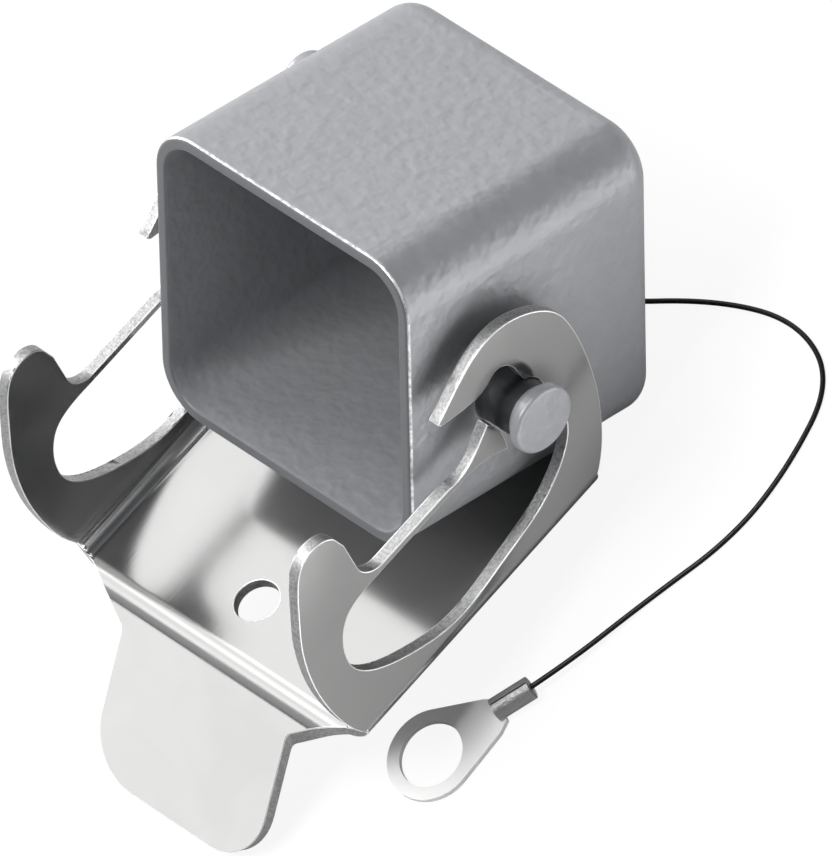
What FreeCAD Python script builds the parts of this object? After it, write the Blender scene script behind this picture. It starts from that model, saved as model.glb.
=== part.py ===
import FreeCAD, Part
import math
import os

# Connector dust cap: a cast box with an open mouth and two headed pegs, a locking lever bent
# from one steel sheet, and a thin tether with a ring terminal. Lengths are in millimetres.
# The cap and lever are drawn in the cap's own frame: X across, the mouth in the plane y = 0
# facing -Y, the underside of the box at z = 0. The whole is then laid down as it rests on a
# table, on the end of the lever's tab and the back edge of the box.

# Cap box
BOX_WIDTH = 26.5
BOX_HEIGHT = 25.6
BOX_DEPTH = 24.4
WALL = 1.05
BACK_WALL = 1.6
CORNER_RADIUS = 4.0
BACK_EDGE_RADIUS = 2.0
FLOOR_FILLET = 1.0
RIM_ROUND = 0.35
RIM_INNER_ROUND = 0.2

# Headed pegs that carry the lever
PEG_Y = 8.6
PEG_Z = 11.0
PEG_RADIUS = 2.2
PEG_HEAD_RADIUS = 2.7
PEG_HEAD_THICKNESS = 0.8
PEG_HEAD_ROUND = 0.3
PEG_HEAD_PLAY = 1.6
PEG_ROOT_FILLET = 0.5

# Locking lever: f runs forward along its web from the peg axis, g runs up from the web
SHEET = 1.0
ARM_GAP = 1.55
ARM_INSIDE = BOX_WIDTH / 2 + ARM_GAP
SEAT_PLAY = 0.08
LEVER_DROOP = 24.8
WEB_TOP = -13.4
WEB_REAR = -2.4
REAR_CORNER = 1.5
SIDE_BEND_INSIDE = 1.4
WEB_SHOULDER = [(0.0, 23.0), (2.4, 23.5)]
WEB_SHOULDER_END = 25.9
WEB_PLAN_TOP = -12.4
WEB_CORNER = 0.6
WEB_HOLE_RADIUS = 1.75
WEB_HOLE_F = 19.2
TAB_APEX = 24.2
TAB_BEND_INSIDE = 2.0
TAB_BEND_ANGLE = 46.0
TAB_LENGTH = 13.9
TAB_WIDTH = 17.4
TAB_CORNER = 4.5

# Blocks that the lever's sheet is cut with, and how far each one reaches past it
FAR = 60.0
BEYOND = 4.0
BLOCK_TOP = 12.0
MIDDLE_INSET = 1.6
MIDDLE_TOP = -10.0
TAB_CUT = 6.0

# Side view of the lever's arm, as (f, g): the open hook round the peg, the hook at the front
# that takes the mating peg, the spring bar between them and the window in the middle
HOOK_OUTSIDE = [(6.3, 5.9), (4.5, 6.8), (2.8, 7.65), (0.6, 8.35), (-1.5, 8.3), (-3.2, 7.55),
                (-4.85, 6.15), (-6.0, 4.3), (-6.4, 2.2), (-6.4, -0.4), (-6.2, -2.6), (-5.7, -5.4),
                (-4.9, -8.0), (-3.75, -10.5), (-2.4, -12.4)]
HOOK_INSIDE = [(-1.22, 1.95), (-1.05, 3.2), (-0.6, 4.6), (0.3, 5.15), (1.4, 4.8), (2.3, 4.62),
               (3.2, 4.7), (4.6, 5.05), (6.1, 5.5)]
FRONT_OUTSIDE = [(23.0, -12.9), (23.8, -11.3), (24.5, -8.4), (24.75, -5.4), (24.6, -2.8),
                 (23.9, 0.4), (22.8, 3.2), (21.75, 5.5), (20.8, 6.65), (19.5, 7.1), (18.3, 6.8),
                 (17.5, 5.9)]
NOTCH_SIDE = [(17.5, 5.9), (17.15, 4.6), (17.15, 1.7)]
NOTCH_FILLET = [(17.15, 1.7), (16.62, 0.36), (15.3, -0.2)]
BAR_TOP = [(8.0, -0.25), (6.8, -0.33), (5.6, 0.0), (4.5, 0.6), (3.0, 1.6)]
BAR_END = [(3.0, 1.6), (2.4, -0.3), (2.6, -2.2)]
BAR_UNDER = [(2.6, -2.2), (3.8, -1.45), (5.2, -0.98), (7.3, -0.8)]
WINDOW = [(16.0, -0.78), (18.2, -0.85), (19.7, -1.35), (20.8, -2.6), (21.4, -4.4), (21.3, -6.3),
          (20.3, -7.9), (18.4, -9.4), (16.2, -10.55), (14.0, -11.35), (11.6, -11.6),
          (8.6, -11.2), (5.5, -10.6), (3.1, -10.05), (0.8, -9.0), (-1.0, -7.6),
          (-2.1, -6.1), (-2.45, -4.85)]

# Tether lug on the left side of the box and the ferrule pressed into it
LUG_Y = 16.5
LUG_Z = 19.4
LUG_RADIUS = 2.3
LUG_REACH = 2.5
LUG_ROUND = 0.7
FERRULE_OUT = 1.35
FERRULE_RADIUS = 0.75
FERRULE_PROUD = 0.9
FERRULE_ROUND = 0.15
FERRULE_GRIP = 1.0

# Cord: where its straight runs would meet on the table, after the first run out of the ferrule.
# x is across, y runs back from the lever's tab along the table, z is up from the table.
CORD_DIAMETER = 0.4
CORD_LIE = CORD_DIAMETER / 2
CORD_FIRST_RUN = 7.5
CORD_CORNERS = [(-14.7, 36.0, 5.2), (-14.5, 33.0, CORD_LIE), (-11.5, 26.5, CORD_LIE),
                (-4.8, 22.6, CORD_LIE), (3.9, 24.33, CORD_LIE), (12.13, 29.06, CORD_LIE),
                (19.15, 30.94, CORD_LIE), (24.65, 28.6, CORD_LIE), (26.1, 21.5, CORD_LIE),
                (25.5, 15.1, CORD_LIE), (22.65, 8.1, CORD_LIE)]
CORD_LAST_RUN = 5.0

# Ring terminal, stamped and rolled from one sheet, flat on the table
RING_X = 15.19
RING_Y = -9.87
RING_HEADING = 63.0
RING_RADIUS = 3.55
RING_HOLE_RADIUS = 2.55
RING_SHEET = 0.45
TONGUE_HALF_WIDTH = 1.6
TONGUE_END = 5.3
BARREL_START = 5.8
BARREL_END = 8.95
BARREL_RADIUS = 0.9
BARREL_SEAM = 0.12

UP = FreeCAD.Vector(0, 0, 1)
ACROSS = FreeCAD.Vector(1, 0, 0)


def at(f, g, x=0.0):
    """A place on the lever before it is turned down by its droop."""
    return FreeCAD.Vector(x, -f, g)


def line(start, end):
    return Part.LineSegment(at(*start), at(*end)).toShape()


def arc(places):
    return Part.Arc(at(*places[0]), at(*places[1]), at(*places[2])).toShape()


def smooth(places):
    spline = Part.BSplineCurve()
    spline.interpolate([at(f, g) for f, g in places])
    return spline.toShape()


def polyline(places):
    return [line(a, b) for a, b in zip(places, places[1:])]


def plate(edges, half_width):
    """A solid of the given side view, from -half_width to half_width across."""
    face = Part.Face(Part.Wire(edges))
    face.translate(ACROSS * -half_width)
    return face.extrude(ACROSS * (2 * half_width))


def prism(places, direction, low, high):
    """A solid of the given corners, from low to high along a direction."""
    wire = Part.makePolygon(list(places) + [places[0]])
    wire.translate(direction * low)
    return Part.Face(wire).extrude(direction * (high - low))


def flat_edges_x(solid, x):
    return [e for e in solid.Edges if e.BoundBox.XLength < 1e-6 and abs(e.BoundBox.XMin - x) < 1e-4]


def flat_edges_y(solid, y):
    return [e for e in solid.Edges if e.BoundBox.YLength < 1e-6 and abs(e.BoundBox.YMin - y) < 1e-4]


def long_edges_y(solid):
    return [e for e in solid.Edges if e.BoundBox.XLength < 1e-6 and e.BoundBox.ZLength < 1e-6]


def rounded_box(inset, y_front, y_back, corner):
    """A box along Y, inset from the outer sides of the cap, with its long edges rounded."""
    solid = Part.makeBox(BOX_WIDTH - 2 * inset, y_back - y_front, BOX_HEIGHT - 2 * inset,
                         FreeCAD.Vector(inset - BOX_WIDTH / 2, y_front, inset))
    return solid.makeFillet(corner, long_edges_y(solid))


def head_start():
    return ARM_INSIDE + SHEET + PEG_HEAD_PLAY


def peg(side):
    """A headed peg on one side of the box, side = 1 for +X and -1 for -X."""
    root = BOX_WIDTH / 2 - WALL / 2
    shank = Part.makeCylinder(PEG_RADIUS, head_start() - root,
                              FreeCAD.Vector(side * root, PEG_Y, PEG_Z), ACROSS * side)
    head = Part.makeCylinder(PEG_HEAD_RADIUS, PEG_HEAD_THICKNESS,
                             FreeCAD.Vector(side * head_start(), PEG_Y, PEG_Z), ACROSS * side)
    outer = flat_edges_x(head, side * (head_start() + PEG_HEAD_THICKNESS))
    return shank.fuse(head.makeFillet(PEG_HEAD_ROUND, outer))


def lug():
    """The cast boss on the left side that holds the tether."""
    root = BOX_WIDTH / 2 - WALL / 2
    length = BOX_WIDTH / 2 + LUG_REACH - root
    boss = Part.makeCylinder(LUG_RADIUS, length, FreeCAD.Vector(-root, LUG_Y, LUG_Z), ACROSS * -1)
    return boss.makeFillet(LUG_ROUND, flat_edges_x(boss, -(root + length)))


def ferrule_axis_point(y):
    return FreeCAD.Vector(-(BOX_WIDTH / 2 + FERRULE_OUT), y, LUG_Z)


def ferrule_back():
    return LUG_Y + LUG_RADIUS + FERRULE_PROUD


def ferrule_bore():
    """The hole through the lug that the ferrule is pressed into."""
    return Part.makeCylinder(FERRULE_RADIUS, 4 * LUG_RADIUS,
                             ferrule_axis_point(LUG_Y - 2 * LUG_RADIUS), FreeCAD.Vector(0, 1, 0))


def cord_ferrule():
    front = LUG_Y - LUG_RADIUS - FERRULE_PROUD / 2
    solid = Part.makeCylinder(FERRULE_RADIUS, ferrule_back() - front, ferrule_axis_point(front),
                              FreeCAD.Vector(0, 1, 0))
    ends = flat_edges_y(solid, front) + flat_edges_y(solid, ferrule_back())
    solid = solid.makeFillet(FERRULE_ROUND, ends)
    socket = Part.makeCylinder(CORD_DIAMETER / 2, FERRULE_GRIP + 1.0,
                               ferrule_axis_point(ferrule_back() - FERRULE_GRIP),
                               FreeCAD.Vector(0, 1, 0))
    return solid.cut(socket)


def cap_body():
    outside = rounded_box(0.0, 0.0, BOX_DEPTH, CORNER_RADIUS)
    outside = outside.makeFillet(BACK_EDGE_RADIUS, flat_edges_y(outside, BOX_DEPTH))
    outside = outside.makeFillet(RIM_ROUND, flat_edges_y(outside, 0.0))
    inside = rounded_box(WALL, -1.0, BOX_DEPTH - BACK_WALL, CORNER_RADIUS - WALL)
    inside = inside.makeFillet(FLOOR_FILLET, flat_edges_y(inside, BOX_DEPTH - BACK_WALL))
    shell = outside.cut(inside)
    mouth = [e for e in flat_edges_y(shell, 0.0)
             if max(abs(e.BoundBox.XMin), abs(e.BoundBox.XMax)) < BOX_WIDTH / 2 - 0.8 * WALL
             and e.BoundBox.ZMin > 0.8 * WALL and e.BoundBox.ZMax < BOX_HEIGHT - 0.8 * WALL]
    shell = shell.makeFillet(RIM_INNER_ROUND, mouth)
    body = shell.fuse([peg(1), peg(-1), lug()]).removeSplitter()
    roots = [e for e in body.Edges if e.BoundBox.XLength < 1e-6
             and abs(abs(e.BoundBox.XMin) - BOX_WIDTH / 2) < 1e-4
             and abs(e.BoundBox.YLength - 2 * PEG_RADIUS) < 1e-3]
    body = body.makeFillet(PEG_ROOT_FILLET, roots)
    return body.cut(ferrule_bore())


def tab_direction():
    turn = math.radians(TAB_BEND_ANGLE)
    return math.cos(turn), -math.sin(turn)


def tab_end(depth):
    """The tab's end in the side view, at a depth below the upper surface."""
    step = tab_direction()
    return (TAB_APEX + TAB_LENGTH * step[0] + depth * step[1],
            WEB_TOP + TAB_LENGTH * step[1] - depth * step[0])


def sheet_path(depth):
    """Side view of the web and tab at a depth below the upper surface, run on past the end."""
    turn = math.radians(TAB_BEND_ANGLE)
    outer = TAB_BEND_INSIDE + SHEET
    start_f = TAB_APEX - outer * math.tan(turn / 2)
    level = WEB_TOP - depth
    centre_g = WEB_TOP - outer
    radius = outer - depth
    middle = (start_f + radius * math.sin(turn / 2), centre_g + radius * math.cos(turn / 2))
    bend_end = (start_f + radius * math.sin(turn), centre_g + radius * math.cos(turn))
    along = TAB_LENGTH + BEYOND
    step = tab_direction()
    end = (bend_end[0] + along * step[0], bend_end[1] + along * step[1])
    edges = [line((-BLOCK_TOP, level), (start_f, level)),
             arc([(start_f, level), middle, bend_end]),
             line(bend_end, end)]
    return edges, end


def above_sheet(depth, half_width, bend):
    """Everything above the web and tab at a depth, with the long lower edges rounded."""
    edges, end = sheet_path(depth)
    edges = edges + polyline([end, (end[0], BLOCK_TOP), (-BLOCK_TOP, BLOCK_TOP),
                              (-BLOCK_TOP, WEB_TOP - depth)])
    solid = plate(edges, half_width)
    low = [e for e in solid.Edges if e.BoundBox.XLength < 1e-6 and e.BoundBox.ZMax < WEB_TOP + 0.01
           and e.Length > 0.5 and e.BoundBox.YLength > 0.2]
    return solid.makeFillet(bend, low)


def arm_edges():
    """The closed side view of the arm, run on below the web, where the sheet ends it."""
    seat = PEG_RADIUS + SEAT_PLAY
    seat_end = (seat * math.cos(math.radians(122.0)), seat * math.sin(math.radians(122.0)))
    seat_middle = (seat * math.cos(math.radians(152.0)), seat * math.sin(math.radians(152.0)))
    seat_start = (-seat, 0.0)
    inside = [seat_end] + HOOK_INSIDE[1:]
    edges = [smooth(HOOK_OUTSIDE)]
    low = WEB_TOP - BEYOND
    front = TAB_APEX + BEYOND
    under = WEB_TOP - SHEET
    inset = REAR_CORNER * (1 - math.sqrt(0.5))
    corner = [(WEB_REAR, under + REAR_CORNER), (WEB_REAR + inset, under + inset),
              (WEB_REAR + REAR_CORNER, under)]
    edges += [line(HOOK_OUTSIDE[-1], corner[0]), arc(corner)]
    edges += polyline([corner[-1], (corner[-1][0], low), (front, low),
                       (front, FRONT_OUTSIDE[0][1]), FRONT_OUTSIDE[0]])
    edges += [smooth(FRONT_OUTSIDE)]
    edges += polyline(NOTCH_SIDE)
    edges += [arc(NOTCH_FILLET), line(NOTCH_FILLET[-1], BAR_TOP[0]), smooth(BAR_TOP), arc(BAR_END)]
    edges += [smooth(BAR_UNDER), line(BAR_UNDER[-1], WINDOW[0]), smooth(WINDOW)]
    edges += [line(WINDOW[-1], seat_start), arc([seat_start, seat_middle, seat_end])]
    edges += [smooth(inside), line(HOOK_INSIDE[-1], HOOK_OUTSIDE[0])]
    return edges


def plan_prism():
    """What the lever keeps as seen from above its web."""
    outside = ARM_INSIDE + SHEET
    wide = outside + BEYOND
    right = [(wide, WEB_REAR), (wide, WEB_SHOULDER[0][1])]
    right += [(outside - inset, f) for inset, f in WEB_SHOULDER]
    right += [(TAB_WIDTH / 2, WEB_SHOULDER_END), (TAB_WIDTH / 2, FAR)]
    left = [(-x, f) for x, f in reversed(right)]
    solid = prism([at(f, 0, x) for x, f in right + left], UP, -FAR, WEB_PLAN_TOP)
    corners = [e for e in solid.Edges if e.BoundBox.XLength < 1e-6 and e.BoundBox.YLength < 1e-6
               and abs(-e.BoundBox.YMin - WEB_SHOULDER_END) < 1e-4]
    above = prism([at(-FAR, 0, -wide), at(FAR, 0, -wide), at(FAR, 0, wide), at(-FAR, 0, wide)],
                  UP, WEB_PLAN_TOP, FAR)
    return solid.makeFillet(WEB_CORNER, corners).fuse(above)


def tab_end_waste():
    """The corners to take off the tab's end, so that it is rounded across its width."""
    step = tab_direction()
    along = FreeCAD.Vector(0, -step[0], step[1])
    normal = along.cross(ACROSS)
    apex = at(TAB_APEX, WEB_TOP)

    def corner(s, x):
        return apex + along * s + ACROSS * x

    half = TAB_WIDTH / 2
    keep = prism([corner(0, -half), corner(TAB_LENGTH, -half), corner(TAB_LENGTH, half),
                  corner(0, half)], normal, -TAB_CUT, TAB_CUT)
    round_edges = [e for e in keep.Edges
                   if abs(e.Length - 2 * TAB_CUT) < 1e-6
                   and (e.CenterOfMass - apex).dot(along) > TAB_LENGTH - 0.01]
    keep = keep.makeFillet(TAB_CORNER, round_edges)
    near = TAB_LENGTH - TAB_CORNER
    far = TAB_LENGTH + 2 * BEYOND
    wide = half + BEYOND
    block = prism([corner(near, -wide), corner(far, -wide), corner(far, wide), corner(near, wide)],
                  normal, -0.8 * TAB_CUT, 0.8 * TAB_CUT)
    return block.cut(keep)


def locking_lever():
    """One sheet: two arms, the web between them and the tab, turned down by the droop."""
    outside = ARM_INSIDE + SHEET
    sheet = above_sheet(SHEET, outside, SIDE_BEND_INSIDE + SHEET)
    sheet = sheet.cut(above_sheet(0.0, ARM_INSIDE, SIDE_BEND_INSIDE))
    between = ARM_INSIDE - MIDDLE_INSET
    middle = Part.makeBox(2 * between, 2 * FAR, FAR + MIDDLE_TOP,
                          FreeCAD.Vector(-between, -FAR, -FAR))
    keep = plate(arm_edges(), outside + BEYOND).fuse(middle)
    lever = sheet.common(keep).common(plan_prism()).cut(tab_end_waste())
    hole = Part.makeCylinder(WEB_HOLE_RADIUS, 2 * BEYOND, at(WEB_HOLE_F, WEB_TOP - BEYOND), UP)
    lever = lever.cut(hole).removeSplitter()
    lever.rotate(FreeCAD.Vector(0, 0, 0), ACROSS, LEVER_DROOP)
    lever.translate(FreeCAD.Vector(0, PEG_Y, PEG_Z))
    return lever


def in_cap(f, g):
    """A place on the drooping lever, as (y, z) of the cap's frame."""
    droop = math.radians(LEVER_DROOP)
    return (PEG_Y - f * math.cos(droop) - g * math.sin(droop),
            PEG_Z - f * math.sin(droop) + g * math.cos(droop))


def rest():
    """How far the cap leans back on the table, in degrees, and the table's height under it."""
    toe = in_cap(*tab_end(SHEET))
    heel = (BOX_DEPTH - BACK_EDGE_RADIUS, BACK_EDGE_RADIUS)
    reach = (heel[0] - toe[0], heel[1] - toe[1])
    span = math.hypot(*reach)
    lean = math.atan2(reach[1], reach[0]) - math.asin(BACK_EDGE_RADIUS / span)
    floor = toe[1] * math.cos(lean) - toe[0] * math.sin(lean)
    return math.degrees(lean), floor


def lay_down(shape):
    lean, floor = rest()
    shape.rotate(FreeCAD.Vector(0, 0, 0), ACROSS, -lean)
    shape.translate(FreeCAD.Vector(0, 0, -floor))
    return shape


def laid(vector):
    return lay_down(Part.Vertex(vector)).Point


def ring_place(along, side, z):
    """A place on the ring terminal, along its axis from the ring towards the cord."""
    heading = math.radians(RING_HEADING)
    ax = FreeCAD.Vector(math.cos(heading), math.sin(heading), 0)
    sx = FreeCAD.Vector(math.sin(heading), -math.cos(heading), 0)
    return FreeCAD.Vector(RING_X, RING_Y, z) + ax * along + sx * side


def ring_terminal():
    """A flat ring with a tapering tongue and a rolled barrel crimped on the cord's end."""
    along = ring_place(1, 0, 0) - ring_place(0, 0, 0)
    touch = (math.atan2(TONGUE_HALF_WIDTH, TONGUE_END)
             + math.acos(RING_RADIUS / math.hypot(TONGUE_END, TONGUE_HALF_WIDTH)))
    reach = RING_RADIUS * math.cos(touch)
    flare = RING_RADIUS * math.sin(touch)
    tongue = prism([ring_place(reach, flare, 0), ring_place(TONGUE_END, TONGUE_HALF_WIDTH, 0),
                    ring_place(TONGUE_END + 0.9, BARREL_RADIUS, 0),
                    ring_place(TONGUE_END + 0.9, -BARREL_RADIUS, 0),
                    ring_place(TONGUE_END, -TONGUE_HALF_WIDTH, 0), ring_place(reach, -flare, 0)],
                   UP, 0.0, RING_SHEET)
    disc = Part.makeCylinder(RING_RADIUS, RING_SHEET, ring_place(0, 0, 0), UP)
    barrel = Part.makeCylinder(BARREL_RADIUS, BARREL_END - BARREL_START,
                               ring_place(BARREL_START, 0, BARREL_RADIUS), along)
    seam = Part.makeBox(BARREL_SEAM, 20.0, BARREL_RADIUS * 2,
                        FreeCAD.Vector(-BARREL_SEAM / 2, BARREL_START - 1.0, BARREL_RADIUS + 0.35))
    seam.rotate(FreeCAD.Vector(0, 0, 0), UP, RING_HEADING - 90.0)
    seam.translate(FreeCAD.Vector(RING_X, RING_Y, 0))
    bore = Part.makeCylinder(CORD_DIAMETER / 2, 12.0, ring_place(BARREL_START - 2.0, 0, BARREL_RADIUS),
                             along)
    hole = Part.makeCylinder(RING_HOLE_RADIUS, 4.0, ring_place(0, 0, -1.0), UP)
    solid = disc.fuse([tongue, barrel]).removeSplitter()
    return solid.cut(hole).cut(bore).cut(seam)


def cord_points():
    """The corners of the cord's runs, from inside the ferrule to inside the terminal's barrel."""
    start = laid(ferrule_axis_point(ferrule_back() - FERRULE_GRIP))
    onward = laid(ferrule_axis_point(ferrule_back() - FERRULE_GRIP + CORD_FIRST_RUN))
    end = ring_place(BARREL_START + 0.4, 0, BARREL_RADIUS)
    before = ring_place(BARREL_START + 0.4 + CORD_LAST_RUN, 0, BARREL_RADIUS)
    return [start, onward] + [FreeCAD.Vector(*p) for p in CORD_CORNERS] + [before, end]


def tether_cord():
    """A round cord along straight runs joined by tangent arcs."""
    points = cord_points()
    edges = []
    length = 0.0
    last = points[0]
    for before, corner, after in zip(points, points[1:], points[2:]):
        back = before - corner
        ahead = after - corner
        shorter = min(back.Length, ahead.Length)
        turn = math.pi - back.getAngle(ahead)
        radius = 0.45 * shorter / math.tan(turn / 2)
        print("bend radius %.2f mm, turn %.1f degrees, run %.2f mm"
              % (radius, math.degrees(turn), ahead.Length))
        back.normalize()
        ahead.normalize()
        start = corner + back * (0.45 * shorter)
        end = corner + ahead * (0.45 * shorter)
        bisector = (back + ahead).normalize()
        middle = corner + bisector * (radius / math.cos(turn / 2) - radius)
        edges.append(Part.LineSegment(last, start).toShape())
        edges.append(Part.Arc(start, middle, end).toShape())
        length += (start - last).Length + radius * turn
        last = end
    edges.append(Part.LineSegment(last, points[-1]).toShape())
    length += (points[-1] - last).Length
    path = Part.Wire(edges)
    section = Part.Wire(Part.makeCircle(CORD_DIAMETER / 2, points[0], points[1] - points[0]))
    tube = path.makePipeShell([section], True, False)
    expected = math.pi * CORD_DIAMETER ** 2 / 4 * length
    print("cord length %.2f mm, volume %.3f of %.3f expected" % (length, tube.Volume, expected))
    return tube


def main():
    os.makedirs("parts", exist_ok=True)
    shapes = {"cap_body": lay_down(cap_body()),
              "locking_lever": lay_down(locking_lever()),
              "cord_ferrule": lay_down(cord_ferrule()),
              "tether_cord": tether_cord(),
              "ring_terminal": ring_terminal()}
    lean, floor = rest()
    box = FreeCAD.BoundBox()
    for name in ("cap_body", "locking_lever", "cord_ferrule"):
        box.add(shapes[name].optimalBoundingBox(False, False))
    shift = FreeCAD.Vector(-(box.XMin + box.XMax) / 2, -(box.YMin + box.YMax) / 2, -box.ZMin)
    print("lean %.3f degrees, table at %.3f, shift %s" % (lean, floor, tuple(shift)))
    print("pegs at", tuple(laid(FreeCAD.Vector(0, PEG_Y, PEG_Z)) + shift))
    print("cord", [tuple(round(c, 3) for c in p + shift) for p in cord_points()])
    for name, shape in shapes.items():
        shape.translate(shift)
        bb = shape.optimalBoundingBox(False, False)
        print("%-14s %9.2f mm3, solids %d, valid %s, x %.2f %.2f y %.2f %.2f z %.2f %.2f" % (
            name, shape.Volume, len(shape.Solids), shape.isValid(), bb.XMin, bb.XMax, bb.YMin,
            bb.YMax, bb.ZMin, bb.ZMax))
        shape.exportStep("parts/%s.step" % name)


main()
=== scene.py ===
# %% [markdown]
# # A dust cap with its locking lever and tether
#
# The cap is a small cast box that closes the plug face of an industrial connector. A lever
# folded from one steel sheet swings on two headed pegs, and a thin cord with a ring terminal
# keeps the cap from being lost. The CAD model gives every solid, so this script adds what a
# CAD model can't: the paint, the metal, the cord's smooth curve, the light and the camera.
# Lengths are in metres unless a name ends in MM.

import math

import bmesh
import bpy
from mathutils import Matrix, Vector
from mathutils.bvhtree import BVHTree


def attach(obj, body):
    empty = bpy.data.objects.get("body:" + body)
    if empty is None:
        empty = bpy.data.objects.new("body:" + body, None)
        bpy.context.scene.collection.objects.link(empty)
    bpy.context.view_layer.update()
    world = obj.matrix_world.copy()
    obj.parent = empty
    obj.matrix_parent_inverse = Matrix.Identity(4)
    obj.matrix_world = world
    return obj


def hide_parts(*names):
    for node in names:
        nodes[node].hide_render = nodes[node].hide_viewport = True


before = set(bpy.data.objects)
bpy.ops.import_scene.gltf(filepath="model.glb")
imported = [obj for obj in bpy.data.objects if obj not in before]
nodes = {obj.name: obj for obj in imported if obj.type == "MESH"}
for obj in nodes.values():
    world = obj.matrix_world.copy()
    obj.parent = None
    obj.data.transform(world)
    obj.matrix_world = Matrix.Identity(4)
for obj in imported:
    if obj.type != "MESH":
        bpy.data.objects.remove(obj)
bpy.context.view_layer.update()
print("CAD nodes:", sorted(nodes))

# %% [markdown]
# ## Camera
#
# The product photograph was taken from far away with a long lens, which leaves almost no
# perspective. Two directions and a place describe such a view: where the camera looks from,
# which way is up in the picture, and where the camera stands. A camera's local axes are right,
# up and backwards, so those three vectors become the columns of its rotation matrix.

# %% Make the camera
TOWARD_CAMERA = Vector((0.578898, -0.069193, 0.812459)).normalized()
PICTURE_UP = Vector((-0.441365, 0.811215, 0.383572))
CAMERA_PLACE = Vector((0.873533, -0.100167, 1.230207))
FOCAL_LENGTH_PIXELS = 20818.7
PICTURE_WIDTH_PIXELS = 832
SENSOR_WIDTH_MM = 36.0

picture_right = PICTURE_UP.cross(TOWARD_CAMERA).normalized()
picture_up = TOWARD_CAMERA.cross(picture_right)
turn = Matrix((picture_right, picture_up, TOWARD_CAMERA)).transposed()

camera_data = bpy.data.cameras.new("photo_camera")
camera_data.sensor_fit = "HORIZONTAL"
camera_data.sensor_width = SENSOR_WIDTH_MM
camera_data.lens = FOCAL_LENGTH_PIXELS * SENSOR_WIDTH_MM / PICTURE_WIDTH_PIXELS
camera_data.clip_start = 0.05
camera_data.clip_end = 20.0
camera = bpy.data.objects.new("photo_camera", camera_data)
camera.location = CAMERA_PLACE
camera.rotation_mode = "QUATERNION"
camera.rotation_quaternion = turn.to_quaternion()
bpy.context.scene.collection.objects.link(camera)
bpy.context.scene.camera = camera
print("lens in mm:", round(camera_data.lens, 1))

# %% [markdown]
# ## Tether cord
#
# The real tether is a thin stranded wire in a dark sheath. It leaves the ferrule on the far
# side of the box, drops to the table and lies there in one wide curve up to the ring
# terminal. A NURBS spline of order 3 is the simplest smooth line for it: it passes near each
# control point and never makes a kink. Its thickness is each point's radius times the bevel
# depth. The radius also widens the curve's box, so it holds the real size and the depth is 1.

# %% Lay the cord
CORD_DIAMETER = 0.0004
CORD_ROUTE_MM = [
    (-14.6, 21.665, 18.284),
    (-14.6, 27.752, 13.903),
    (-14.7, 30.56, 5.2),
    (-14.5, 28.155, 0.2),
    (-11.5, 21.655, 0.2),
    (-4.8, 17.755, 0.2),
    (3.9, 19.485, 0.2),
    (12.13, 24.215, 0.2),
    (19.15, 26.095, 0.2),
    (24.65, 23.755, 0.2),
    (25.91, 16.655, 0.2),
    (25.5, 10.255, 0.2),
    (22.65, 3.255, 0.2),
    (20.275, -4.736, 0.9),
    (18.005, -9.191, 0.9),
]

cord_curve = bpy.data.curves.new("cord_line", "CURVE")
cord_curve.dimensions = "3D"
spline = cord_curve.splines.new("NURBS")
spline.points.add(len(CORD_ROUTE_MM) - 1)
for point, place in zip(spline.points, CORD_ROUTE_MM):
    point.co = (place[0] / 1000, place[1] / 1000, place[2] / 1000, 1.0)
    point.radius = CORD_DIAMETER / 2
spline.order_u = 3
spline.use_endpoint_u = True
cord_curve.resolution_u = 24
cord_curve.bevel_depth = 1.0
cord_curve.bevel_resolution = 5
cord_curve.use_fill_caps = True
cord = bpy.data.objects.new("sheathed_cord", cord_curve)
bpy.context.scene.collection.objects.link(cord)
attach(cord, "cap")
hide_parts("tether_cord")
print("cord points:", len(CORD_ROUTE_MM))

# %% [markdown]
# ## Small helpers for node trees
#
# Materials are easier to read when a node is made, filled in and joined in one line. `add`
# makes a node and sets its values, where an underscore in a name stands for a space, and
# `join` draws the noodle between two sockets. The others do what nearly every finish needs.


# %% Node helpers
def add(tree, kind, **values):
    """A new node with these properties and input values."""
    node = tree.nodes.new(kind)
    for name, value in values.items():
        if hasattr(node, name):
            setattr(node, name, value)
        else:
            node.inputs[name.replace("_", " ")].default_value = value
    return node


def join(tree, output, target):
    tree.links.new(output, target)


def calculate(tree, operation, *values):
    """A Math node. Each value is another node's output or a plain number."""
    node = add(tree, "ShaderNodeMath", operation=operation)
    for socket, value in zip(node.inputs, values):
        if isinstance(value, bpy.types.NodeSocket):
            join(tree, value, socket)
        else:
            socket.default_value = value
    return node.outputs["Value"]


def ramp(tree, source, stops):
    """A colour ramp from grey values, as (position, value) pairs."""
    node = add(tree, "ShaderNodeValToRGB")
    elements = node.color_ramp.elements
    while len(elements) > 1:
        elements.remove(elements[-1])
    elements[0].position, value = stops[0]
    elements[0].color = (value, value, value, 1)
    for position, value in stops[1:]:
        element = elements.new(position)
        element.color = (value, value, value, 1)
    join(tree, source, node.inputs["Fac"])
    return node.outputs["Color"]


def noise(tree, coords, **values):
    """A noise texture that is fixed to the object."""
    node = add(tree, "ShaderNodeTexNoise", **values)
    join(tree, coords, node.inputs["Vector"])
    return node.outputs["Fac"]


print("node helpers ready")


# %% Material helpers
def new_material(name, **values):
    """A material whose tree holds its output and a Principled shader with these values."""
    material = bpy.data.materials.new(name)
    material.use_nodes = True
    tree = material.node_tree
    tree.nodes.clear()
    shader = add(tree, "ShaderNodeBsdfPrincipled", **values)
    output = add(tree, "ShaderNodeOutputMaterial")
    join(tree, shader.outputs["BSDF"], output.inputs["Surface"])
    return material, tree, shader


def object_coords(tree):
    return add(tree, "ShaderNodeTexCoord").outputs["Object"]


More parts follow.
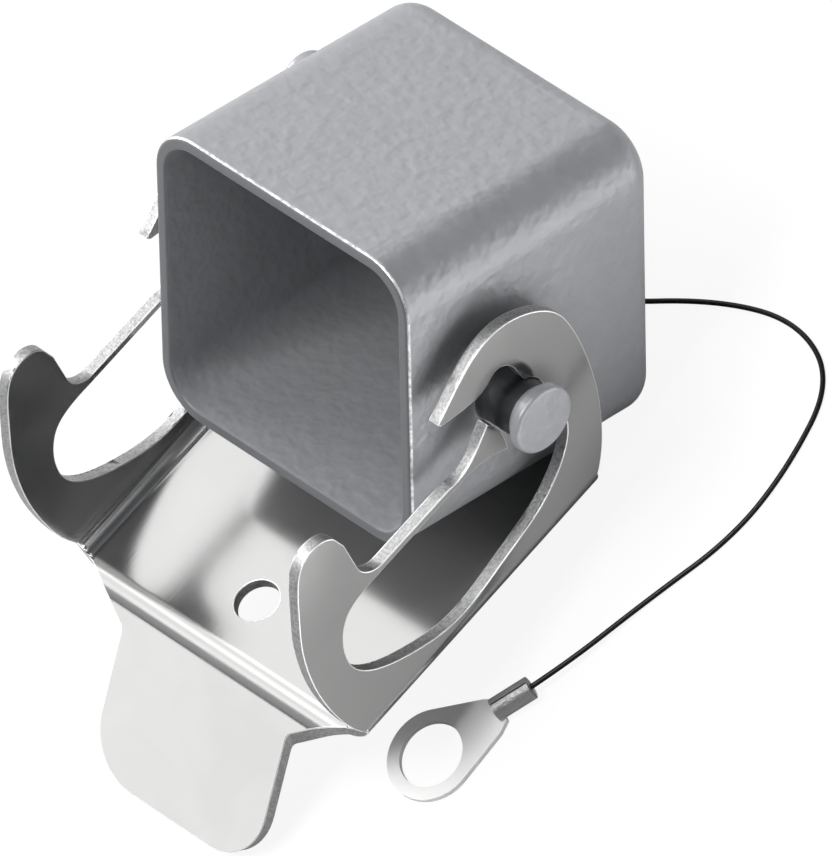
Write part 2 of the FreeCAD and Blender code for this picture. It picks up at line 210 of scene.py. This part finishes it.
def vary_roughness(tree, shader, mask, smoothest, roughest):
    """Lets a mask from 0 to 1 move the roughness between two values."""
    gloss = add(tree, "ShaderNodeMapRange", To_Min=smoothest, To_Max=roughest)
    join(tree, mask, gloss.inputs["Value"])
    join(tree, gloss.outputs["Result"], shader.inputs["Roughness"])


def raise_bumps(tree, shader, height, strength, distance):
    """Turns a height from 0 to 1 into shading. The distance is the height of the bumps."""
    bump = add(tree, "ShaderNodeBump", Strength=strength, Distance=distance)
    join(tree, height, bump.inputs["Height"])
    join(tree, bump.outputs["Normal"], shader.inputs["Normal"])


def dress(name, material):
    """Gives a CAD node one material for all its faces."""
    materials = nodes[name].data.materials
    materials.clear()
    materials.append(material)


print("material helpers ready")

# %% [markdown]
# ## Three effects that several finishes share
#
# Nothing real is evenly smooth. Rolled metal carries a fine grain along the rolling
# direction, and every surface that hands touch has soft smudges that change its gloss. Each
# effect is a node group, made once and given its own numbers in every material that uses it.
# The third one is painted shade, dark and soft edged, on and round the pegs that the lever turns
# on, where the pegs' heads shade the shanks and the arms.


# %% Group helpers
def start_group(name, inputs, outputs):
    """A shader group with float inputs, a Coordinates input and float outputs."""
    group = bpy.data.node_groups.new(name, "ShaderNodeTree")
    group.interface.new_socket("Coordinates", in_out="INPUT", socket_type="NodeSocketVector")
    for label, value in inputs.items():
        socket = group.interface.new_socket(label, in_out="INPUT", socket_type="NodeSocketFloat")
        socket.default_value = value
    for label in outputs:
        group.interface.new_socket(label, in_out="OUTPUT", socket_type="NodeSocketFloat")
    return group, add(group, "NodeGroupInput"), add(group, "NodeGroupOutput")


def use_group(tree, group, coordinates, **values):
    """A node that uses the group with its own values, and gives the group's one output."""
    node = add(tree, "ShaderNodeGroup", node_tree=group)
    for label, value in values.items():
        node.inputs[label].default_value = value
    join(tree, coordinates, node.inputs["Coordinates"])
    return node.outputs[0]


print("group helpers ready")

# %% Build the grain and the smudges
rolled_grain, group_in, group_out = start_group(
    "rolled_grain", {"Fine": 2600.0, "Length": 0.06}, ["Grain"]
)
squeeze = add(rolled_grain, "ShaderNodeCombineXYZ", X=1.0, Z=1.0)
join(rolled_grain, group_in.outputs["Length"], squeeze.inputs["Y"])
stretched = add(rolled_grain, "ShaderNodeVectorMath", operation="MULTIPLY")
join(rolled_grain, group_in.outputs["Coordinates"], stretched.inputs[0])
join(rolled_grain, squeeze.outputs["Vector"], stretched.inputs[1])
grain = add(rolled_grain, "ShaderNodeTexNoise", Detail=4.0, Roughness=0.65)
join(rolled_grain, stretched.outputs["Vector"], grain.inputs["Vector"])
join(rolled_grain, group_in.outputs["Fine"], grain.inputs["Scale"])
join(rolled_grain, grain.outputs["Fac"], group_out.inputs["Grain"])

smudges, group_in, group_out = start_group("smudges", {"Scale": 160.0}, ["Mask"])
cloud = add(smudges, "ShaderNodeTexNoise", Detail=3.0, Roughness=0.55, Distortion=0.6)
join(smudges, group_in.outputs["Coordinates"], cloud.inputs["Vector"])
join(smudges, group_in.outputs["Scale"], cloud.inputs["Scale"])
soft = ramp(smudges, cloud.outputs["Fac"], [(0.35, 0.0), (0.65, 1.0)])
join(smudges, soft, group_out.inputs["Mask"])
print("groups:", rolled_grain.name, smudges.name)

# %% [markdown]
# The painted shade is measured from the line through both pegs. Between the distances Near and
# Far it fades out, and it stays between two distances from the cap's middle plane, Inner and
# Outer, so that the pegs' heads stay unshaded.

# %% Build the painted shade round the pegs
PIVOT = (0.0, 0.008560, 0.017366)

pivot_painted_shade, group_in, group_out = start_group(
    "pivot_painted_shade", {"Near": 0.0022, "Far": 0.0036, "Inner": 0.0134, "Outer": 0.0168}, ["Mask"]
)
offset = add(pivot_painted_shade, "ShaderNodeVectorMath", operation="SUBTRACT")
offset.inputs[1].default_value = PIVOT
join(pivot_painted_shade, group_in.outputs["Coordinates"], offset.inputs[0])
parts = add(pivot_painted_shade, "ShaderNodeSeparateXYZ")
join(pivot_painted_shade, offset.outputs["Vector"], parts.inputs["Vector"])
across_axis = add(pivot_painted_shade, "ShaderNodeCombineXYZ")
join(pivot_painted_shade, parts.outputs["Y"], across_axis.inputs["Y"])
join(pivot_painted_shade, parts.outputs["Z"], across_axis.inputs["Z"])
away = add(pivot_painted_shade, "ShaderNodeVectorMath", operation="LENGTH")
join(pivot_painted_shade, across_axis.outputs["Vector"], away.inputs[0])
fade = add(
    pivot_painted_shade, "ShaderNodeMapRange", interpolation_type="SMOOTHSTEP", To_Min=1.0, To_Max=0.0
)
join(pivot_painted_shade, away.outputs["Value"], fade.inputs["Value"])
join(pivot_painted_shade, group_in.outputs["Near"], fade.inputs["From Min"])
join(pivot_painted_shade, group_in.outputs["Far"], fade.inputs["From Max"])
from_middle = calculate(pivot_painted_shade, "ABSOLUTE", parts.outputs["X"])
past = calculate(pivot_painted_shade, "GREATER_THAN", from_middle, group_in.outputs["Inner"])
within = calculate(pivot_painted_shade, "LESS_THAN", from_middle, group_in.outputs["Outer"])
band = calculate(pivot_painted_shade, "MULTIPLY", past, within)
shade_mask = calculate(pivot_painted_shade, "MULTIPLY", fade.outputs["Result"], band)
join(pivot_painted_shade, shade_mask, group_out.inputs["Mask"])
print("group:", pivot_painted_shade.name)

# %% [markdown]
# ## Hammered grey paint
#
# The casting has a thick stoved paint with a slightly dimpled, orange-peel skin. The dimples
# are about a millimetre apart. Two noises of different size, one on the other, make them
# irregular, and a Bump node turns the height into shading without any more faces.

# %% Paint the cap
paint, tree, shader = new_material("hammered_grey_paint", Metallic=0.4)
coords = object_coords(tree)
wide = noise(tree, coords, Scale=1100.0, Detail=1.0, Roughness=0.4)
fine = noise(tree, coords, Scale=2600.0, Detail=1.0, Roughness=0.4)
dimples = ramp(tree, wide, [(0.25, 0.0), (0.75, 1.0)])
height = calculate(tree, "MULTIPLY_ADD", fine, 0.22, dimples)
raise_bumps(tree, shader, height, strength=0.6, distance=0.000085)

tone = add(tree, "ShaderNodeMix", data_type="RGBA")
tone.inputs["A"].default_value = (0.287, 0.29, 0.303, 1)
tone.inputs["B"].default_value = (0.305, 0.308, 0.321, 1)
join(tree, dimples, tone.inputs["Factor"])
# Painted shade: round the pegs' shanks the paint darkens to near black, where the heads shade
# them.
shaded_tone = add(tree, "ShaderNodeMix", data_type="RGBA")
shaded_tone.inputs["B"].default_value = (0.045, 0.047, 0.05, 1)
join(tree, use_group(tree, pivot_painted_shade, coords), shaded_tone.inputs["Factor"])
join(tree, tone.outputs["Result"], shaded_tone.inputs["A"])
join(tree, shaded_tone.outputs["Result"], shader.inputs["Base Color"])
touched = use_group(tree, smudges, coords, Scale=210.0)
vary_roughness(tree, shader, touched, 0.39, 0.47)
dress("cap_body", paint)
print("painted:", paint.name)

# %% [markdown]
# ## Rim of the mouth
#
# The rim's face, which looks towards the mouth, gets a much darker grey than the walls as painted
# shade, since little light falls on it. The rim's rounded outer edge gets bright specks as a
# painted highlight. The lean of the box gives the direction that the mouth faces. Faces close to
# that end are sorted by their normals.

# %% Mix the rim's finishes
# Painted shade: the rim's face gets a much darker grey than the walls.
shaded_rim, tree, shader = new_material(
    "rim_painted_shade", Metallic=0.25, Base_Color=(0.11, 0.113, 0.119, 1), Roughness=0.45
)

# Painted highlight: the rim's rounded outer edge gets bright grey specks.
rim_highlight, tree, shader = new_material("rim_painted_highlight", Metallic=0.6, Roughness=0.4)
specks = noise(tree, object_coords(tree), Scale=2600.0, Detail=2.0, Roughness=0.6)
speck_tone = ramp(tree, specks, [(0.35, 0.3), (0.65, 0.65)])
join(tree, speck_tone, shader.inputs["Base Color"])
print("rim finishes:", shaded_rim.name, rim_highlight.name)

# %% Finish the rim
BOX_LEAN_DEGREES = 35.742
LEVEL_WITH_RIM = 0.00005
RIM_DEPTH = 0.0007
FACES_MOUTH = 0.3
STILL_FLAT = 0.8

box_lean = math.radians(BOX_LEAN_DEGREES)
mouth = Vector((0, -math.cos(box_lean), math.sin(box_lean)))
upward = Vector((0, math.sin(box_lean), math.cos(box_lean)))

cap_mesh = nodes["cap_body"].data
cap_mesh.materials.append(shaded_rim)
cap_mesh.materials.append(rim_highlight)
front = max(vertex.co.dot(mouth) for vertex in cap_mesh.vertices)
rim_points = [v.co for v in cap_mesh.vertices if v.co.dot(mouth) > front - LEVEL_WITH_RIM]
rim_heights = [point.dot(upward) for point in rim_points]
middle_up = (max(rim_heights) + min(rim_heights)) / 2
counts = [0, 0]
# Faces towards the mouth get the painted shade, and the outer edge faces that turn outwards get
# the painted highlight.
for face in cap_mesh.polygons:
    toward_mouth = face.normal.dot(mouth)
    if face.center.dot(mouth) < front - RIM_DEPTH or toward_mouth < FACES_MOUTH:
        continue
    outward = Vector((1, 0, 0)) * face.center.x + upward * (face.center.dot(upward) - middle_up)
    turned = toward_mouth < STILL_FLAT and face.normal.dot(outward) > 0
    face.material_index = 2 if turned else 1
    counts[turned] += 1
print("rim faces:", counts[0], "rubbed edge faces:", counts[1])

# %% [markdown]
# ## Satin steel of the lever
#
# The lever is punched and folded from cold rolled stainless sheet. Its flat faces have a
# satin grain that runs along the web. The grain is a noise squeezed in one direction, in the
# lever's own slope, and it feeds a very weak bump so that reflections are softly combed.

# %% Finish the lever's faces
LEVER_DROOP_DEGREES = 24.8

steel, tree, shader = new_material("satin_steel", Metallic=1.0)
coords = object_coords(tree)
lever_frame = add(tree, "ShaderNodeMapping", vector_type="POINT")
lever_lean = math.radians(BOX_LEAN_DEGREES - LEVER_DROOP_DEGREES)
lever_frame.inputs["Rotation"].default_value = (lever_lean, 0, 0)
join(tree, coords, lever_frame.inputs["Vector"])
rolled = use_group(tree, rolled_grain, lever_frame.outputs["Vector"], Fine=5200.0, Length=0.05)
raise_bumps(tree, shader, rolled, strength=0.25, distance=0.00001)
touched = use_group(tree, smudges, coords, Scale=120.0)
vary_roughness(tree, shader, touched, 0.14, 0.2)

# Painted shade: round the pegs the steel darkens, where the pegs' heads shade the arms.
lever_shade = use_group(tree, pivot_painted_shade, coords, Near=0.0016, Far=0.0045)
shade_share = calculate(tree, "MULTIPLY", lever_shade, 0.75)
shaded_tone = add(tree, "ShaderNodeMix", data_type="RGBA")
shaded_tone.inputs["A"].default_value = (0.43, 0.428, 0.423, 1)
shaded_tone.inputs["B"].default_value = (0.09, 0.088, 0.085, 1)
join(tree, shade_share, shaded_tone.inputs["Factor"])
join(tree, shaded_tone.outputs["Result"], shader.inputs["Base Color"])
print("face finish:", steel.name)

# %% [markdown]
# ## Punched edges of the lever
#
# Where the punch went through, the sheet shows its thickness. The upper part is sheared
# bright and the lower part is torn, so the edge sparkles in tiny facets. One small noise
# moves the colour, the gloss and a stronger bump together and gives that look.

# %% Finish the lever's edges
sheared, tree, shader = new_material("sheared_edge", Metallic=1.0)
torn = noise(tree, object_coords(tree), Scale=4800.0, Detail=3.0, Roughness=0.7)
speckled = ramp(tree, torn, [(0.35, 0.26), (0.65, 0.48)])
join(tree, speckled, shader.inputs["Base Color"])
vary_roughness(tree, shader, torn, 0.4, 0.62)
raise_bumps(tree, shader, torn, strength=0.6, distance=0.00004)

# Painted highlight: the eased edges get a far paler steel than the faces. The rounding itself is
# real and catches real light, and the pale colour makes its line brighter still.
highlighted, tree, shader = new_material(
    "painted_edge_highlight", Metallic=1.0, Base_Color=(0.92, 0.915, 0.905, 1), Roughness=0.45
)
print("edge finishes:", sheared.name, highlighted.name)

# %% [markdown]
# ## Lever with eased edges
#
# A punched sheet is tumbled after folding, which eases every edge by a few hundredths of a
# millimetre. That tiny rounding catches the light as a bright line, and a CAD edge that is
# perfectly sharp never shows it. So a copy of the CAD lever is merged, its flat triangles are
# joined into whole faces and its sharp edges are bevelled. Rays shot inwards tell the two
# finishes apart: behind a sheet face, the other face is always one sheet thickness away. A
# thin hook tip could pass for a sheet too, so on the arms only faces turned sideways count.

# %% Sort the lever's faces
SHEET = 0.001
SHEET_TOLERANCE = 0.03 * SHEET
ARM_FROM = 0.01485
FACES_SIDEWAYS = 0.4
STEP_INSIDE = 2e-5
RAY_LENGTH = 0.004
SAME_POINT = 2e-6

easing = bmesh.new()
easing.from_mesh(nodes["locking_lever"].data)
bmesh.ops.remove_doubles(easing, verts=easing.verts, dist=SAME_POINT)
solid = BVHTree.FromBMesh(easing)
for face in easing.faces:
    start = face.calc_center_median() - face.normal * STEP_INSIDE
    hit = solid.ray_cast(start, -face.normal, RAY_LENGTH)
    depth = (hit[3] or 0.0) + STEP_INSIDE
    is_sheet = abs(depth - SHEET) < SHEET_TOLERANCE
    if abs(start.x) > ARM_FROM and abs(face.normal.x) < FACES_SIDEWAYS:
        is_sheet = False
    face.material_index = 0 if is_sheet else 1
    face.smooth = True
edge_count = sum(face.material_index for face in easing.faces)
print("sheet triangles:", len(easing.faces) - edge_count, "cut edge triangles:", edge_count)

# %% Ease the lever's edges
EASE = 0.00007
SAME_PLANE = math.radians(0.05)
SHARP = math.radians(40)

bmesh.ops.dissolve_limit(
    easing,
    angle_limit=SAME_PLANE,
    verts=easing.verts,
    edges=easing.edges,
    delimit={"MATERIAL"},
)
sharp = [e for e in easing.edges if e.is_manifold and e.calc_face_angle() > SHARP]
# The bevel strips take the third finish, the painted highlight.
bmesh.ops.bevel(
    easing,
    geom=sharp,
    offset=EASE,
    offset_type="OFFSET",
    segments=2,
    profile=0.5,
    affect="EDGES",
    clamp_overlap=False,
    material=2,
)
for face in easing.faces:
    face.smooth = True
lever_mesh = bpy.data.meshes.new("eased_lever")
easing.to_mesh(lever_mesh)
easing.free()
for finish in (steel, sheared, highlighted):
    lever_mesh.materials.append(finish)
lever = bpy.data.objects.new("eased_lever", lever_mesh)
bpy.context.scene.collection.objects.link(lever)
even = lever.modifiers.new("even_faces", "WEIGHTED_NORMAL")
even.mode = "FACE_AREA_WITH_ANGLE"
even.keep_sharp = True
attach(lever, "lever")
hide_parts("locking_lever")
print("lever faces:", len(lever_mesh.polygons), "bevelled edges:", len(sharp))

# %% [markdown]
# ## Ring terminal and ferrule
#
# The ring terminal is tin plated copper, stamped flat and rolled into a barrel at one end. Tin is
# whiter and softer looking than steel. The barrel, the part that stands above the flat ring, gets
# a darker grey and a dented bump. The ferrule in the lug is plain nickel plated brass.

# %% Plate the ring terminal
tin, tree, shader = new_material(
    "tin_plate", Metallic=0.15, Base_Color=(0.76, 0.757, 0.75, 1)
)
coords = object_coords(tree)
touched = use_group(tree, smudges, coords, Scale=420.0)
vary_roughness(tree, shader, touched, 0.46, 0.6)
plated = use_group(tree, rolled_grain, coords, Fine=3600.0, Length=0.6)
raise_bumps(tree, shader, plated, strength=0.3, distance=0.00002)
dress("ring_terminal", tin)
print("plated:", tin.name)

# %% Crimp the barrel
ABOVE_FLAT_RING = 0.00055

crimped, tree, shader = new_material(
    "crimped_tin", Metallic=0.5, Base_Color=(0.27, 0.27, 0.267, 1)
)
pressed = noise(tree, object_coords(tree), Scale=3300.0, Detail=3.0, Roughness=0.6)
vary_roughness(tree, shader, pressed, 0.3, 0.55)
raise_bumps(tree, shader, pressed, strength=0.8, distance=0.00008)

terminal_mesh = nodes["ring_terminal"].data
terminal_mesh.materials.append(crimped)
barrel_faces = [face for face in terminal_mesh.polygons if face.center.z > ABOVE_FLAT_RING]
for face in barrel_faces:
    face.material_index = 1
print("barrel faces:", len(barrel_faces))

# %% Plate the ferrule
nickel, tree, shader = new_material(
    "nickel_plate", Metallic=1.0, Base_Color=(0.62, 0.58, 0.5, 1)
)
touched = use_group(tree, smudges, object_coords(tree), Scale=700.0)
vary_roughness(tree, shader, touched, 0.2, 0.34)
dress("cord_ferrule", nickel)
print("plated:", nickel.name)

# %% [markdown]
# ## Cord sheath
#
# The sheath is black plastic with a soft gloss. The strands under it make its skin a little
# knobbly, which a small noise and a weak bump imitate.

# %% Sheathe the cord
sheath, tree, shader = new_material(
    "black_sheath", Base_Color=(0.004, 0.004, 0.0045, 1), Specular_IOR_Level=0.25, Roughness=0.34
)
knobbly = noise(tree, object_coords(tree), Scale=1500.0, Detail=2.0)
raise_bumps(tree, shader, knobbly, strength=0.3, distance=0.00003)
cord.data.materials.append(sheath)
print("cord finish:", sheath.name)

# %% [markdown]
# ## Floor
#
# The photograph has a pure white ground. A white floor lit by lamps is never quite white, so
# its shader adds light of its own, but only for rays that come straight from the camera.
# Diffuse rays see a plain pale floor, so the object still gets an honest soft bounce and
# keeps a faint shadow. Mirror-like surfaces see a greyer one, as the arms do in the photo.


# %% Lay the floor
def end_with_mix(tree, share, first, second, output_kind):
    """Mixes two shaders by a share and ends the tree with the result."""
    blend = add(tree, "ShaderNodeMixShader")
    join(tree, share, blend.inputs["Fac"])
    join(tree, first, blend.inputs[1])
    join(tree, second, blend.inputs[2])
    output = add(tree, output_kind)
    join(tree, blend.outputs["Shader"], output.inputs["Surface"])


CAMERA_SHARE = 0.9
SEEN_BY_DIFFUSE = 0.82
SEEN_IN_MIRRORS = 0.46

floor_mesh = bpy.data.meshes.new("white_floor")
shape = bmesh.new()
bmesh.ops.create_grid(shape, x_segments=1, y_segments=1, size=6.0)
shape.to_mesh(floor_mesh)
shape.free()
floor = bpy.data.objects.new("white_floor", floor_mesh)
bpy.context.scene.collection.objects.link(floor)

white = bpy.data.materials.new("white_ground")
white.use_nodes = True
tree = white.node_tree
tree.nodes.clear()
seen = add(tree, "ShaderNodeLightPath")
matte = add(tree, "ShaderNodeBsdfDiffuse")
grey = ramp(tree, seen.outputs["Is Glossy Ray"], [(0.0, SEEN_BY_DIFFUSE), (1.0, SEEN_IN_MIRRORS)])
join(tree, grey, matte.inputs["Color"])
glow = add(tree, "ShaderNodeEmission", Strength=1.0)
camera_part = calculate(tree, "MULTIPLY", seen.outputs["Is Camera Ray"], CAMERA_SHARE)
end_with_mix(
    tree, camera_part, matte.outputs["BSDF"], glow.outputs["Emission"], "ShaderNodeOutputMaterial"
)
floor_mesh.materials.append(white)
print("floor:", [round(v, 2) for v in floor.dimensions])

# %% [markdown]
# ## Light
#
# Polished metal is lit by what it mirrors. Six panels stand in an arc where the lever's web
# mirrors them, and their different brightness gives the web its pale gradients and darker
# bands. The lamps above and on the left model the paint. A lamp on the right and a small card
# beside the part, which the camera can't see, lift the painted side. Each lamp is placed by
# the direction it shines from, at one distance from the part.


# %% Hang the lamps
LAMP_DISTANCE = 0.6
PART_MIDDLE = Vector((0, 0, 0.015))
ARC_SIDE = -0.579
ARC = [
    (0.65, 0.49, 1.4),
    (0.393, 0.714, 1.7),
    (0.097, 0.81, 1.65),
    (-0.213, 0.787, 1.6),
    (-0.48, 0.66, 0.5),
    (-0.77, 0.264, 1.85),
]


def hang_lamp(name, direction, size, brightness):
    """A rectangular lamp that faces the part. Brightness 1 looks white in a mirror."""
    away = Vector(direction).normalized()
    data = bpy.data.lights.new(name, "AREA")
    data.shape = "RECTANGLE"
    data.size, data.size_y = size
    data.energy = brightness * math.pi * size[0] * size[1]
    lamp = bpy.data.objects.new(name, data)
    lamp.location = PART_MIDDLE + away * LAMP_DISTANCE
    lamp.rotation_mode = "QUATERNION"
    lamp.rotation_quaternion = away.to_track_quat("Z", "Y")
    bpy.context.scene.collection.objects.link(lamp)
    return lamp


for number, (back, up, brightness) in enumerate(ARC):
    hang_lamp("arc_panel_%d" % number, (ARC_SIDE, back, up), (0.22, 0.22), brightness)
hang_lamp("low_panel", (-0.58, 0.79, 0.22), (0.3, 0.25), 1.2)
hang_lamp("left_panel", (-0.93, 0.0, 0.4), (0.4, 0.35), 9.0)
hang_lamp("top_front_lamp", (-0.08, -0.3, 0.95), (0.2, 0.2), 20.0)
hang_lamp("top_lamp", (-0.08, 0.0, 1.0), (0.2, 0.2), 13.0)
hang_lamp("camera_side_lamp", (0.7, 0.07, 0.7), (0.22, 0.22), 3.2)

card = hang_lamp("bounce_card", (0, 0, 1), (0.09, 0.15), 2.2)
card.location = (0.082, 0.02, 0.0015)
card.rotation_quaternion = (0, 1, 0, 0)
card.visible_camera = False

# %% [markdown]
# The room gives a weak, slightly cool light from everywhere. Like the floor, it is white only
# where the camera looks straight at it.

# %% Light the room
world = bpy.data.worlds.new("studio")
bpy.context.scene.world = world
world.use_nodes = True
tree = world.node_tree
tree.nodes.clear()
seen = add(tree, "ShaderNodeLightPath")
room = add(tree, "ShaderNodeBackground", Strength=0.09, Color=(0.92, 0.97, 1.06, 1))
backdrop = add(tree, "ShaderNodeBackground", Strength=1.0)
end_with_mix(
    tree,
    seen.outputs["Is Camera Ray"],
    room.outputs["Background"],
    backdrop.outputs["Background"],
    "ShaderNodeOutputWorld",
)
bpy.context.scene.view_settings.view_transform = "Standard"
print("room:", world.name)

# %% [markdown]
# ## Last update
#
# The looks must not change the part's size. The last call brings the scene up to date.

# %% Finish
bpy.context.view_layer.update()
